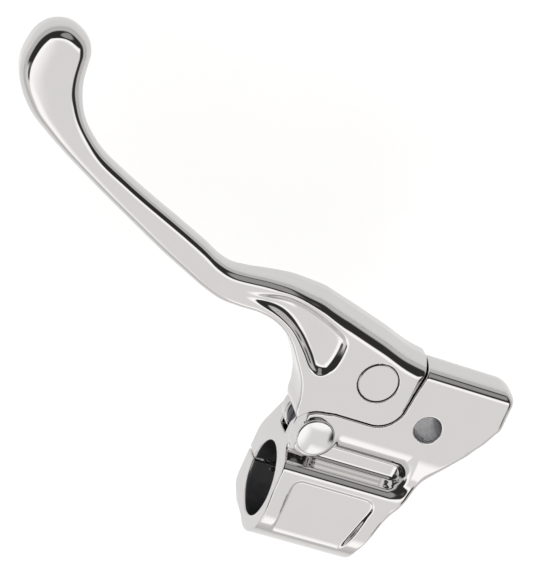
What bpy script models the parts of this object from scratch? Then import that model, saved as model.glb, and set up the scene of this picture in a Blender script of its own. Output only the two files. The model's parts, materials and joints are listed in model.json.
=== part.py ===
"""Clutch lever and perch for a one inch motorcycle handlebar, with its pins, bushes and clamp screws.

The origin is on the handlebar's axis. +X runs along the bar towards the middle of the machine, +Y points
ahead, in the direction that the lever moves away from the grip, and +Z is square to the plane that the lever
swings in, on the side with the pivot pin's head. All lengths are in metres.
"""

import math

import bmesh
import bpy
from mathutils import Vector

MM = 0.001

# Handlebar clamp
BAR_DIAMETER = 25.4 * MM
CLAMP_END_X = -25.0 * MM  # outboard end face of the perch
CLAMP_SPLIT = 0.8 * MM  # gap under the bar that the clamp screws close
CLAMP_WALL = 3.3 * MM  # over the bar, at the top
CLAMP_BACK_RADIUS = BAR_DIAMETER / 2 + 1.3 * MM
CLAMP_BACK_CENTRE = (-3.0 * MM, 3.0 * MM)  # y and z
INBOARD_END_X = 13.9 * MM  # inboard end of the clamp, over the bar's axis
INBOARD_SLANT = 0.38  # the inboard end leans outwards by this much for each unit of y
PANEL_DEPTH = 0.6 * MM  # of the sunk panel on the clamp
PANEL_LEFT = -19.6 * MM
PANEL_RIGHT = 10.1 * MM
PANEL_FRONT = 10.0 * MM
PANEL_SLANT = 0.28

# Perch arm, which carries the pivot, the mirror hole and the cable
TOP_Z = BAR_DIAMETER / 2 + CLAMP_WALL
ARM_HEIGHT = 16.0 * MM
NOSE_RADIUS = ARM_HEIGHT / 2
NOSE_Y = 52.1 * MM
ARM_BACK_Y = 22.3 * MM
ARM_BACK_RADIUS = 6.5 * MM
CABLE_END_X = 38.6 * MM
CABLE_END_ROUND = 5.0 * MM
INBOARD_SIDE = ((35.6, 40.6), (30.9, 36.2), (26.8, 31.6), (23.9, 26.4), (21.7, 21.2))  # in millimetres
SEAM_CORNER = (-4.4 * MM, 44.6 * MM)  # centre of the seam's inner corner
SEAM_RADIUS = 9.2 * MM
SEAM_SIDE = ((5.5 * MM, 51.0 * MM), (6.4 * MM, 56.7 * MM), (6.8 * MM, 61.1 * MM))
SEAM_START_X = -13.0 * MM  # where the seam leaves the boss
GROOVE_FRONT_EDGE_Y = 14.8 * MM
GROOVE_DEPTH = 6.2 * MM
GROOVE_END_X = 15.0 * MM
EAR_THICKNESS = 3.9 * MM  # of the ear under the lever's tongue
MIRROR_HOLE_DIAMETER = 9.0 * MM
MIRROR_HOLE_CENTRE = (14.5 * MM, 39.7 * MM)
CABLE_BORE_DIAMETER = 9.0 * MM
CABLE_SLOT_WIDTH = 4.6 * MM
CABLE_SEAT_X = 21.0 * MM  # where the cable's outer ferrule stops

# Pivot, a headed pin through both ears of the perch and the lever's tongue
PIVOT = (-20.2 * MM, 26.9 * MM)
PIN_DIAMETER = 8.0 * MM
PIN_HEAD_DIAMETER = 12.6 * MM
PIN_HEAD_HEIGHT = 2.8 * MM
BOSS_RADIUS = 7.9 * MM
BOSS_HEIGHT = 7.0 * MM
BOSS_ROLL = 4.6 * MM  # rounding of the boss down into the groove
TONGUE_RADIUS = PIN_DIAMETER / 2 + 3.2 * MM
SLOT_DROP = 4.5 * MM  # floor of the slot for the lever's tongue, below the arm's underside
SLOT_LOW_Z = TOP_Z - ARM_HEIGHT - SLOT_DROP
EAR_BOTTOM_Z = SLOT_LOW_Z - EAR_THICKNESS
TONGUE_HEIGHT = 4.8 * MM
TONGUE_SIDE_X = -7.6 * MM
BUSH_WALL = 1.2 * MM
BUSH_RECESS = 0.1 * MM  # depth of the bush's ends below the tongue's faces
THRUST_WASHER_HEIGHT = 0.5 * MM
THRUST_WASHER_DIAMETER = 13.6 * MM
WAVE_WASHER_HEIGHT = 0.8 * MM
WAVE_WASHER_DIAMETER = 12.4 * MM
PIN_TAIL_DIAMETER = 6.5 * MM  # the pin is stepped, and this part passes the lower ear
PIN_NECK = 0.7 * MM  # depth of the retaining ring's groove
PIN_RING_DIAMETER = 9.2 * MM
RING_HEIGHT = 0.8 * MM
SPOTFACE_DIAMETER = 11.0 * MM
SPOTFACE_DEPTH = 1.4 * MM
PIN_TAIL = 0.8 * MM  # length left below the retaining ring

# Cable anchor, a barrel that lies flush in the lever
ANCHOR = (-7.9 * MM, 50.1 * MM)
ANCHOR_DIAMETER = 13.0 * MM
CABLE_NIPPLE_DIAMETER = 6.6 * MM
NIPPLE_HALF_LENGTH = 3.5 * MM
CABLE_WIRE_SLOT = 3.4 * MM
CABLE_Z = TOP_Z - ARM_HEIGHT / 2
LEVER_CABLE_SLOT = 5.0 * MM
ANCHOR_WASHER_HEIGHT = 0.8 * MM
ANCHOR_WASHER_RIM = 1.4 * MM  # of the washer beyond the anchor
ANCHOR_TAIL = 1.4 * MM

# Clamp screws, across the split under the bar
SCREW_DIAMETER = 4.8 * MM
SCREW_HEAD_DIAMETER = 7.2 * MM
SCREW_HEAD_HEIGHT = 4.0 * MM
SCREW_CHAMFER = 0.5 * MM
SCREW_Z = -BAR_DIAMETER / 2 - 3.9 * MM
CLAMP_BOTTOM_Z = SCREW_Z - 4.0 * MM
SCREW_SEAT_Y = 7.5 * MM
SCREW_XS = {"outboard": -17.0 * MM, "inboard": 1.0 * MM}
LOCK_WASHER_HEIGHT = 1.2 * MM
INSERT_WALL = 0.8 * MM
INSERT_LENGTH = 8.6 * MM
INSERT_START = 1.6 * MM  # depth of the insert's mouth below the split's face
HEX_SOCKET_WIDTH = 4.0 * MM
HEX_SOCKET_DEPTH = 2.4 * MM

# Clearances
GAP = 0.3 * MM  # between pieces that touch
SEAM = 0.4 * MM  # between the lever and the perch at the rest stop
RUNNING_FIT = 0.3 * MM  # on the radius of a pin in its hole
HEAD_CLEARANCE = 0.3 * MM

# The lever's sections, from its ball end to the seam: the front edge, the back edge, the heights of the
# underside and the top, and the rounding of the front and the back edge, all in millimetres
LEVER_LIST_TOP = 16.0  # the height that stands for the lever's top face in this list
LEVER_STATIONS = (
    ((-139.9, 128.6), (-142.9, 128.2), 7.0, 10.8, 1.9, 1.9),
    ((-136.1, 126.9), (-146.4, 124.9), 4.4, 16.0, 4.6, 4.6),
    ((-133.0, 124.5), (-148.3, 121.6), 3.5, 16.0, 5.6, 5.4),
    ((-131.3, 121.2), (-149.4, 117.0), 3.2, 16.0, 5.8, 5.4),
    ((-130.8, 117.0), (-149.9, 112.0), 3.2, 16.0, 5.4, 5.2),
    ((-130.3, 112.0), (-148.7, 107.4), 3.6, 16.0, 5.0, 4.8),
    ((-128.8, 106.8), (-145.8, 102.6), 4.3, 16.0, 4.6, 4.2),
    ((-126.3, 102.0), (-141.5, 98.0), 5.1, 16.0, 4.2, 3.8),
    ((-122.2, 97.5), (-135.8, 94.2), 5.9, 16.0, 3.9, 3.4),
    ((-116.4, 93.1), (-126.5, 88.8), 6.4, 16.0, 3.7, 3.1),
    ((-108.4, 89.2), (-112.3, 81.3), 6.5, 16.0, 3.6, 3.0),
    ((-100.3, 85.6), (-104.2, 77.2), 6.5, 16.0, 3.6, 3.0),
    ((-86.0, 79.8), (-90.2, 70.2), 6.4, 16.0, 3.7, 3.0),
    ((-77.0, 76.0), (-80.5, 65.9), 6.0, 16.0, 3.9, 2.8),
    ((-71.2, 73.2), (-73.1, 62.8), 5.6, 16.0, 4.1, 2.5),
    ((-66.0, 71.8), (-66.5, 60.8), 5.1, 16.0, 4.2, 2.2),
    ((-60.0, 71.9), (-60.0, 60.5), 4.4, 16.0, 4.3, 1.8),
    ((-53.0, 72.6), (-53.5, 60.6), 3.4, 16.0, 4.4, 1.5),
    ((-46.0, 73.0), (-47.0, 59.2), 2.3, 16.0, 4.6, 1.2),
    ((-39.0, 72.5), (-41.0, 55.4), 1.2, 16.0, 4.8, 1.0),
    ((-33.5, 71.9), (-36.0, 49.3), 0.5, 16.0, 5.1, 0.9),
    ((-29.0, 70.7), (-31.8, 43.0), 0.1, 16.0, 5.4, 0.8),
    ((-25.5, 69.7), (-30.0, 37.6), 0.0, 16.0, 5.7, 0.8),
    ((-22.5, 68.9), (-28.5, 31.4), 0.0, 16.0, 5.9, 0.8),
    ((-17.0, 67.3), (-20.0, 24.0), 0.0, 16.0, 6.2, 0.8),
    ((-9.0, 65.0), (-10.0, 22.0), 0.0, 16.0, 6.8, 0.8),
    ((0.0, 62.4), (0.0, 22.0), 0.0, 16.0, 7.5, 0.8),
    ((10.0, 60.6), (10.0, 22.0), 0.0, 16.0, 7.9, 0.8),
)

# Outline of the lever's scooped recess, in millimetres, and its depth
SCOOP_OUTLINE = (
    (-62.0, 66.4),
    (-55.0, 67.9),
    (-46.0, 69.1),
    (-38.3, 68.2),
    (-29.0, 65.2),
    (-23.2, 62.0),
    (-21.9, 57.5),
    (-22.9, 49.4),
    (-26.6, 46.3),
    (-30.6, 47.6),
    (-35.0, 52.5),
    (-40.0, 57.4),
    (-45.0, 60.8),
    (-50.0, 62.6),
    (-57.0, 63.6),
)
SCOOP_DEPTH = 2.2 * MM


def clear_scene():
    for old in list(bpy.data.objects):
        bpy.data.objects.remove(old)


def material(name, colour, roughness, metallic):
    made = bpy.data.materials.new(name)
    made.use_nodes = True
    shader = made.node_tree.nodes["Principled BSDF"]
    shader.inputs["Base Color"].default_value = (*colour, 1.0)
    shader.inputs["Roughness"].default_value = roughness
    shader.inputs["Metallic"].default_value = metallic
    return made


def arc(centre, radius, start, end, steps):
    """Points along an arc, from one angle to another in degrees."""
    points = []
    for step in range(steps + 1):
        angle = math.radians(start + (end - start) * step / steps)
        points.append((centre[0] + radius * math.cos(angle), centre[1] + radius * math.sin(angle)))
    return points


def smooth_path(points, steps, closed=False):
    """A smooth curve through the given tuples of numbers, with some steps between each pair."""
    count = len(points)
    spans = count if closed else count - 1
    path = []
    for span in range(spans):
        if closed:
            near = [points[(span + k) % count] for k in (-1, 0, 1, 2)]
        else:
            near = [points[min(max(span + k, 0), count - 1)] for k in (-1, 0, 1, 2)]
        for step in range(steps):
            t = step / steps
            weights = (
                (-t + 2 * t * t - t**3) / 2,
                (2 - 5 * t * t + 3 * t**3) / 2,
                (t + 4 * t * t - 3 * t**3) / 2,
                (-t * t + t**3) / 2,
            )
            path.append(tuple(sum(w * p[i] for w, p in zip(weights, near)) for i in range(len(points[0]))))
    if not closed:
        path.append(tuple(points[-1]))
    return path


def object_from(name, shape, finish=None):
    """A Blender object from a bmesh, with its faces turned outwards."""
    bmesh.ops.recalc_face_normals(shape, faces=shape.faces)
    mesh = bpy.data.meshes.new(name)
    shape.to_mesh(mesh)
    shape.free()
    made = bpy.data.objects.new(name, mesh)
    bpy.context.scene.collection.objects.link(made)
    if finish:
        mesh.materials.append(finish)
        mesh.shade_smooth()
        mesh.set_sharp_from_angle(angle=math.radians(30))
    else:
        made.hide_render = True
        made.display_type = "WIRE"
    return made


def prism(name, outline, low, high, axis="Z", finish=None):
    """A flat outline extruded along an axis. An outline for X holds (y, z), and one for Z holds (x, y)."""
    shape = bmesh.new()
    rings = []
    for height in (low, high):
        if axis == "X":
            ring = [shape.verts.new((height, a, b)) for a, b in outline]
        else:
            ring = [shape.verts.new((a, b, height)) for a, b in outline]
        rings.append(ring)
        shape.faces.new(ring)
    count = len(outline)
    for i in range(count):
        j = (i + 1) % count
        shape.faces.new((rings[0][i], rings[0][j], rings[1][j], rings[1][i]))
    return object_from(name, shape, finish)


def turned(name, profile, centre, axis="Z", steps=48, finish=None):
    """A solid or a ring turned about an axis. The profile is a closed loop of (radius, distance along)."""
    shape = bmesh.new()
    count = len(profile)

    def place(radius, along, angle):
        around = (radius * math.cos(angle), radius * math.sin(angle))
        offset = {"X": (along, *around), "Y": (around[0], along, around[1]), "Z": (*around, along)}[axis]
        return shape.verts.new(Vector(centre) + Vector(offset))

    on_axis = {i: place(0, along, 0) for i, (radius, along) in enumerate(profile) if radius == 0}
    loops = []
    for step in range(steps):
        angle = 2 * math.pi * step / steps
        loops.append([on_axis.get(i) or place(*profile[i], angle) for i in range(count)])
    for step in range(steps):
        here, after = loops[step], loops[(step + 1) % steps]
        for i in range(count):
            j = (i + 1) % count
            if i in on_axis and j in on_axis:
                continue
            corners = [here[i], here[j]]
            corners += [vert for vert in (after[j], after[i]) if vert not in corners]
            shape.faces.new(corners)
    return object_from(name, shape, finish)


def rod(name, radius, low, high, centre, axis="Z", steps=48, finish=None):
    return turned(name, [(0, low), (radius, low), (radius, high), (0, high)], centre, axis, steps, finish)


def ring(name, inner, outer, low, high, centre, axis="Z", steps=40, finish=None):
    profile = [(inner, low), (outer, low), (outer, high), (inner, high)]
    return turned(name, profile, centre, axis, steps, finish)


def combine(target, operation, *tools):
    for tool in tools:
        change = target.modifiers.new(tool.name, "BOOLEAN")
        change.operation = operation
        change.object = tool
        change.solver = "EXACT"


def axis_empty(name, point, parent=None):
    empty = bpy.data.objects.new(name, None)
    bpy.context.scene.collection.objects.link(empty)
    empty.location = point
    if parent:
        empty.parent = parent
        empty.location = Vector(point) - Vector(parent.location)
    return empty


def hang_on(empty, point, *pieces):
    """Parents pieces to an empty on their joint's axis, and leaves them where they are."""
    for piece in pieces:
        piece.parent = empty
        piece.location = -Vector(point)


clear_scene()
CHROME = material("polished_chrome", (0.86, 0.87, 0.88), 0.05, 1.0)
PLATED_STEEL = material("plated_steel", (0.72, 0.73, 0.75), 0.16, 1.0)
BRONZE = material("sintered_bronze", (0.62, 0.42, 0.20), 0.38, 1.0)
SPRING_STEEL = material("spring_steel", (0.22, 0.22, 0.24), 0.34, 1.0)

groove_z = TOP_Z - GROOVE_DEPTH
pivot_radius = PIN_DIAMETER / 2
lower_thrust_z = SLOT_LOW_Z + GAP
tongue_low = lower_thrust_z + THRUST_WASHER_HEIGHT + GAP
tongue_high = tongue_low + TONGUE_HEIGHT
upper_thrust_z = tongue_high + GAP
wave_z = upper_thrust_z + THRUST_WASHER_HEIGHT + GAP
slot_high = wave_z + WAVE_WASHER_HEIGHT + GAP
spotface_z = EAR_BOTTOM_Z + SPOTFACE_DEPTH
anchor_washer_radius = ANCHOR_DIAMETER / 2 + ANCHOR_WASHER_RIM
pivot_axis_point = (*PIVOT, 0)
anchor_axis_point = (*ANCHOR, 0)


# Perch body: one casting, the shape that is common to a profile drawn along the bar and an outline from above
def perch_profile():
    """The perch's (y, z) section: round clamp, web, arm with its rounded nose, and the sloping underside."""
    arm_back_centre = (ARM_BACK_Y + ARM_BACK_RADIUS, TOP_Z - ARM_BACK_RADIUS)
    nose_centre = (NOSE_Y, TOP_Z - NOSE_RADIUS)
    points = [(7.6 * MM, TOP_Z + 0.3 * MM)]
    points += arc(CLAMP_BACK_CENTRE, CLAMP_BACK_RADIUS, 84, 200, 14)
    points += [(-13.6 * MM, CLAMP_BOTTOM_Z + 7.6 * MM)]
    points += arc((-8.6 * MM, CLAMP_BOTTOM_Z + 4.2 * MM), 4.2 * MM, 180, 270, 4)
    points += [(7.6 * MM, CLAMP_BOTTOM_Z), (11.0 * MM, CLAMP_BOTTOM_Z + 1.2 * MM)]
    points += [(19.0 * MM, EAR_BOTTOM_Z - 5.4 * MM), (26.6 * MM, EAR_BOTTOM_Z), (33.0 * MM, EAR_BOTTOM_Z)]
    points += [(38.6 * MM, TOP_Z - ARM_HEIGHT)]
    points += arc(nose_centre, NOSE_RADIUS, -90, 90, 16)
    points += arc(arm_back_centre, ARM_BACK_RADIUS, 90, 180, 6)
    points += [(20.4 * MM, groove_z), (16.4 * MM, TOP_Z - 3.4 * MM)]
    points += [(GROOVE_FRONT_EDGE_Y, TOP_Z - 1.2 * MM)]
    return points


def perch_outline():
    """The perch from above: clamp end, boss, the seam that the lever rests on, cable end and inboard side."""
    boss_meets_end = math.degrees(math.acos((CLAMP_END_X - PIVOT[0]) / BOSS_RADIUS))
    back_y = CLAMP_BACK_CENTRE[0] - CLAMP_BACK_RADIUS - 1 * MM
    points = [(CLAMP_END_X, back_y)]
    points += arc(PIVOT, BOSS_RADIUS, boss_meets_end, 88, 5)
    points += [(SEAM_START_X, SEAM_CORNER[1] - SEAM_RADIUS)]
    points += arc(SEAM_CORNER, SEAM_RADIUS, -90, -4, 8)
    points += SEAM_SIDE
    points += arc((CABLE_END_X - 6 * MM, 55.4 * MM), 6.0 * MM, 80, 0, 6)
    points += arc((CABLE_END_X - CABLE_END_ROUND, 47.4 * MM), CABLE_END_ROUND, 0, -46, 4)
    points += smooth_path([(x * MM, y * MM) for x, y in INBOARD_SIDE], 2)
    for y in (14.2 * MM, back_y):
        points.append((INBOARD_END_X + INBOARD_SLANT * y, y))
    return points


def make_perch():
    body = prism("perch_body", perch_profile(), CLAMP_END_X - 8 * MM, CABLE_END_X + 2 * MM, "X", CHROME)
    groove_fill_profile = [(12.0 * MM, 2.0 * MM), (32.0 * MM, 2.0 * MM), (32.0 * MM, TOP_Z - 1.2 * MM)]
    groove_fill_profile += [(20.0 * MM, TOP_Z - 1.8 * MM), (12.0 * MM, TOP_Z - 1.4 * MM)]
    groove_end = prism("groove_end", groove_fill_profile, GROOVE_END_X, 30 * MM, "X")
    outline = prism("perch_outline", perch_outline(), -30 * MM, 30 * MM)
    boss_low = TOP_Z - BOSS_HEIGHT
    boss_profile = [(0, 0), (BOSS_RADIUS - 3.4 * MM, boss_low - 1.6 * MM)]
    boss_profile += [(BOSS_RADIUS - 0.9 * MM, boss_low)]
    boss_profile += [(BOSS_RADIUS, boss_low + 1.8 * MM), (BOSS_RADIUS, TOP_Z - 0.6 * MM)]
    boss_profile += [(BOSS_RADIUS - 0.6 * MM, TOP_Z), (0, TOP_Z)]
    boss = turned("boss", boss_profile, pivot_axis_point)
    skirt_centre = (BOSS_RADIUS, TOP_Z - BOSS_ROLL)
    skirt_profile = [(0, groove_z - 3 * MM), (BOSS_RADIUS + BOSS_ROLL, groove_z - 3 * MM)]
    skirt_profile += arc(skirt_centre, BOSS_ROLL, 0, 90, 5) + [(0, TOP_Z)]
    skirt = turned("boss_skirt", skirt_profile, pivot_axis_point, "Z", 36)
    combine(body, "UNION", groove_end, skirt)
    combine(body, "INTERSECT", outline)
    combine(body, "UNION", boss)

    bore = rod("bar_bore", BAR_DIAMETER / 2, -60 * MM, 60 * MM, (0, 0, 0), "X", 72)
    half_split = CLAMP_SPLIT / 2
    split_profile = [(-half_split, -40 * MM), (half_split, -40 * MM)]
    split_profile += [(half_split, -5 * MM), (-half_split, -5 * MM)]
    split = prism("clamp_split", split_profile, -40 * MM, 40 * MM, "X")
    slot_right = TONGUE_SIDE_X + 3.6 * MM
    slot_corner = 3.0 * MM
    slot_outline = [(-40 * MM, 4 * MM), (slot_right, 4 * MM), (slot_right, 33 * MM)]
    slot_outline += arc((slot_right + slot_corner, 33 * MM), slot_corner, 180, 90, 3)
    slot_outline += [(slot_right + slot_corner, 70 * MM), (-40 * MM, 70 * MM)]
    slot = prism("tongue_slot", slot_outline, SLOT_LOW_Z, slot_high)
    upper_hole = pivot_radius + RUNNING_FIT
    lower_hole = PIN_TAIL_DIAMETER / 2 + RUNNING_FIT
    middle_z = (SLOT_LOW_Z + slot_high) / 2
    spotface_radius = SPOTFACE_DIAMETER / 2
    pin_hole_profile = [(0, -40 * MM), (spotface_radius, -40 * MM), (spotface_radius, spotface_z)]
    pin_hole_profile += [(lower_hole, spotface_z), (lower_hole, middle_z), (upper_hole, middle_z)]
    pin_hole_profile += [(upper_hole, 40 * MM), (0, 40 * MM)]
    pin_hole = turned("pin_hole", pin_hole_profile, pivot_axis_point)
    mirror_hole = rod("mirror_hole", MIRROR_HOLE_DIAMETER / 2, -40 * MM, 40 * MM, (*MIRROR_HOLE_CENTRE, 0))
    cable_point = (0, ANCHOR[1], CABLE_Z)
    cable_bore = rod("cable_bore", CABLE_BORE_DIAMETER / 2, CABLE_SEAT_X, 60 * MM, cable_point, "X", 36)
    half_slot = CABLE_SLOT_WIDTH / 2
    wire_profile = [(ANCHOR[1] - half_slot, -20 * MM), (ANCHOR[1] + half_slot, -20 * MM)]
    wire_profile += arc((ANCHOR[1], CABLE_Z), half_slot, 0, 180, 8)
    wire_slot = prism("wire_slot", wire_profile, -20 * MM, 60 * MM, "X")
    panel_outline = rounded_panel()
    panel = prism("panel", panel_outline, TOP_Z - PANEL_DEPTH, 40 * MM)
    combine(body, "DIFFERENCE", bore, split, slot, pin_hole, mirror_hole)
    combine(body, "DIFFERENCE", cable_bore, wire_slot, panel)
    for place, x in SCREW_XS.items():
        cut_for_screw(body, place, x)
    return body


def rounded_panel():
    """Outline of the clamp's sunk panel, whose inboard side is parallel to the clamp's inboard end."""
    corner = 3.2 * MM
    points = arc((PANEL_LEFT + corner, PANEL_FRONT - corner), corner, 180, 90, 4)
    lean = math.degrees(math.atan(PANEL_SLANT))
    inset = corner * (1 + PANEL_SLANT)
    points += arc((PANEL_RIGHT - inset, PANEL_FRONT - corner), corner, 90, -lean, 4)
    back_y = -25 * MM
    points.append((PANEL_RIGHT + PANEL_SLANT * (back_y - PANEL_FRONT), back_y))
    points.append((PANEL_LEFT, back_y))
    return points


def cut_for_screw(body, place, x):
    """Clearance hole and seat in the front lug, and the blind hole in the back lug, as one cutter."""
    clearance = SCREW_DIAMETER / 2 + RUNNING_FIT
    insert_hole = SCREW_DIAMETER / 2 + RUNNING_FIT + INSERT_WALL + GAP
    insert_mouth = -CLAMP_SPLIT / 2 - INSERT_START + GAP
    bottom = insert_mouth - INSERT_LENGTH - 2 * GAP
    seat = SCREW_HEAD_DIAMETER / 2 + HEAD_CLEARANCE
    profile = [(0, bottom), (insert_hole, bottom), (insert_hole, insert_mouth), (clearance, insert_mouth)]
    profile += [(clearance, SCREW_SEAT_Y), (seat, SCREW_SEAT_Y), (seat, 40 * MM), (0, 40 * MM)]
    combine(body, "DIFFERENCE", turned("screw_hole_" + place, profile, (x, 0, SCREW_Z), "Y", 32))


# Lever: one forging, lofted through its stations from the ball end to the seam
def lever_section(front, back, low, high, front_round, back_round):
    """One closed section of the lever across its length, in metres, with rounded front and back edges."""
    front = Vector((front[0] * MM, front[1] * MM))
    back = Vector((back[0] * MM, back[1] * MM))
    across = (front - back).normalized()
    unit = ARM_HEIGHT / LEVER_LIST_TOP
    half_height = (high - low) * unit / 2
    high = TOP_Z + (high - LEVER_LIST_TOP) * unit
    front_radius = min(front_round * MM, half_height * 0.999)
    back_radius = min(back_round * MM, half_height * 0.999)
    corners = (
        (front, front_radius, high - front_radius, 1, (90, 0)),
        (front, front_radius, high - 2 * half_height + front_radius, 1, (0, -90)),
        (back, back_radius, high - 2 * half_height + back_radius, -1, (-90, 0)),
        (back, back_radius, high - back_radius, -1, (0, 90)),
    )
    points = []
    for edge, radius, centre_z, side, (start, end) in corners:
        for along, height in arc((0, 0), radius, start, end, 4):
            place = edge - across * side * (radius - along)
            points.append((place.x, place.y, centre_z + height))
    return points


def make_lever():
    flat = [(*station[0], *station[1], *station[2:]) for station in LEVER_STATIONS]
    shape = bmesh.new()
    loops = []
    for numbers in smooth_path(flat, 2):
        section = lever_section(numbers[0:2], numbers[2:4], *numbers[4:])
        loops.append([shape.verts.new(point) for point in section])
    for here, after in zip(loops, loops[1:]):
        count = len(here)
        for i in range(count):
            j = (i + 1) % count
            shape.faces.new((here[i], here[j], after[j], after[i]))
    shape.faces.new(loops[0])
    shape.faces.new(loops[-1])
    lever = object_from("lever", shape, CHROME)

    seam_gap_outline = seam_cutter_outline()
    seam_cutter = prism("seam_cutter", seam_gap_outline, -20 * MM, 40 * MM)
    tongue = prism("tongue", tongue_outline(), tongue_low, tongue_high)
    washer_room_radius = anchor_washer_radius + GAP
    underside = TOP_Z - ARM_HEIGHT
    washer_room = rod("washer_room", washer_room_radius, -30 * MM, underside, anchor_axis_point, "Z", 40)
    combine(tongue, "DIFFERENCE", washer_room)
    bush_hole_radius = pivot_radius + RUNNING_FIT + BUSH_WALL + GAP
    bush_hole = rod("bush_hole", bush_hole_radius, -30 * MM, slot_high, pivot_axis_point, "Z", 40)
    anchor_bore = rod("anchor_bore", ANCHOR_DIAMETER / 2 + GAP, -30 * MM, 40 * MM, anchor_axis_point)
    scoop_points = smooth_path([(x * MM, y * MM) for x, y in SCOOP_OUTLINE], 2, closed=True)
    scoop = prism("scoop", scoop_points, TOP_Z - SCOOP_DEPTH, TOP_Z + 5 * MM)
    half_slot = LEVER_CABLE_SLOT / 2
    reach = 24 * MM
    sweep = math.radians(30)
    fan = [(ANCHOR[0], ANCHOR[1] + 2.6 * MM), (ANCHOR[0], ANCHOR[1] - 2.6 * MM)]
    fan.append((ANCHOR[0] + reach, ANCHOR[1] - 2.6 * MM - reach * math.tan(sweep)))
    fan.append((ANCHOR[0] + reach, ANCHOR[1] + 2.6 * MM))
    cable_slot = prism("cable_slot", fan, CABLE_Z - half_slot, CABLE_Z + half_slot)
    combine(lever, "DIFFERENCE", seam_cutter)
    combine(lever, "UNION", tongue)
    combine(lever, "DIFFERENCE", bush_hole, anchor_bore, scoop, cable_slot)
    return lever


def seam_cutter_outline():
    """The perch's outline along the seam, grown by the seam's gap, and closed well outside the lever."""
    points = [(-60 * MM, 0), (-60 * MM, 10 * MM)]
    points += arc(PIVOT, BOSS_RADIUS + SEAM, 215, 88, 10)
    points += [(SEAM_START_X, SEAM_CORNER[1] - SEAM_RADIUS + SEAM)]
    points += arc(SEAM_CORNER, SEAM_RADIUS - SEAM, -90, -4, 8)
    points += [(x - SEAM, y) for x, y in SEAM_SIDE]
    points += [(SEAM_SIDE[-1][0] - SEAM, 70 * MM), (30 * MM, 70 * MM), (30 * MM, 0)]
    return points


def tongue_outline():
    """The tongue from above: round about the pivot, and widening into the lever under its body."""
    points = arc(PIVOT, TONGUE_RADIUS, 150, 345, 14)
    points += [(TONGUE_SIDE_X - 2.4 * MM, 33.0 * MM), (TONGUE_SIDE_X, 38.0 * MM)]
    points += [(TONGUE_SIDE_X - 1 * MM, 41.8 * MM)]
    points += [(-23.0 * MM, 43.0 * MM), (-25.6 * MM, 37.0 * MM)]
    return points


# Pivot: stepped pin with a domed head, bronze bush, thrust washers, wave washer and retaining ring
def make_pivot():
    hole = pivot_radius + RUNNING_FIT
    tail_radius = PIN_TAIL_DIAMETER / 2
    neck_radius = tail_radius - PIN_NECK
    ring_high = spotface_z - GAP
    ring_low = ring_high - RING_HEIGHT
    tail_low = ring_low - GAP - PIN_TAIL
    step_z = SLOT_LOW_Z + GAP
    head_low = TOP_Z + GAP
    head_high = head_low + PIN_HEAD_HEIGHT
    head_radius = PIN_HEAD_DIAMETER / 2
    chamfer = 0.4 * MM
    head_round = 1.3 * MM
    crown = 0.4 * MM
    profile = [(0, tail_low), (tail_radius - chamfer, tail_low), (tail_radius, tail_low + chamfer)]
    profile += [(tail_radius, ring_low - GAP), (neck_radius, ring_low - GAP)]
    profile += [(neck_radius, ring_high + GAP / 2), (tail_radius, ring_high + GAP / 2)]
    profile += [(tail_radius, step_z), (pivot_radius, step_z)]
    profile += [(pivot_radius, head_low), (head_radius, head_low)]
    profile += arc((head_radius - head_round, head_high - head_round - crown), head_round, 0, 80, 5)
    profile += [(head_radius * 0.45, head_high - crown / 4), (0, head_high)]
    turned("pivot_pin", profile, pivot_axis_point, "Z", 48, PLATED_STEEL)

    thrust_radius = THRUST_WASHER_DIAMETER / 2
    for name, low in (("thrust_washer_lower", lower_thrust_z), ("thrust_washer_upper", upper_thrust_z)):
        high = low + THRUST_WASHER_HEIGHT
        ring(name, hole, thrust_radius, low, high, pivot_axis_point, finish=PLATED_STEEL)
    wave_radius = WAVE_WASHER_DIAMETER / 2
    wave_high = wave_z + WAVE_WASHER_HEIGHT
    ring("anti_rattle_washer", hole, wave_radius, wave_z, wave_high, pivot_axis_point, finish=SPRING_STEEL)
    clip_inner = neck_radius + GAP / 2
    clip_outer = PIN_RING_DIAMETER / 2
    ring("pivot_pin_ring", clip_inner, clip_outer, ring_low, ring_high, pivot_axis_point, finish=SPRING_STEEL)
    bush_low = tongue_low + BUSH_RECESS
    bush_high = tongue_high - BUSH_RECESS
    outer = hole + BUSH_WALL
    return ring("lever_pivot_bush", hole, outer, bush_low, bush_high, pivot_axis_point, finish=BRONZE)


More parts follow.
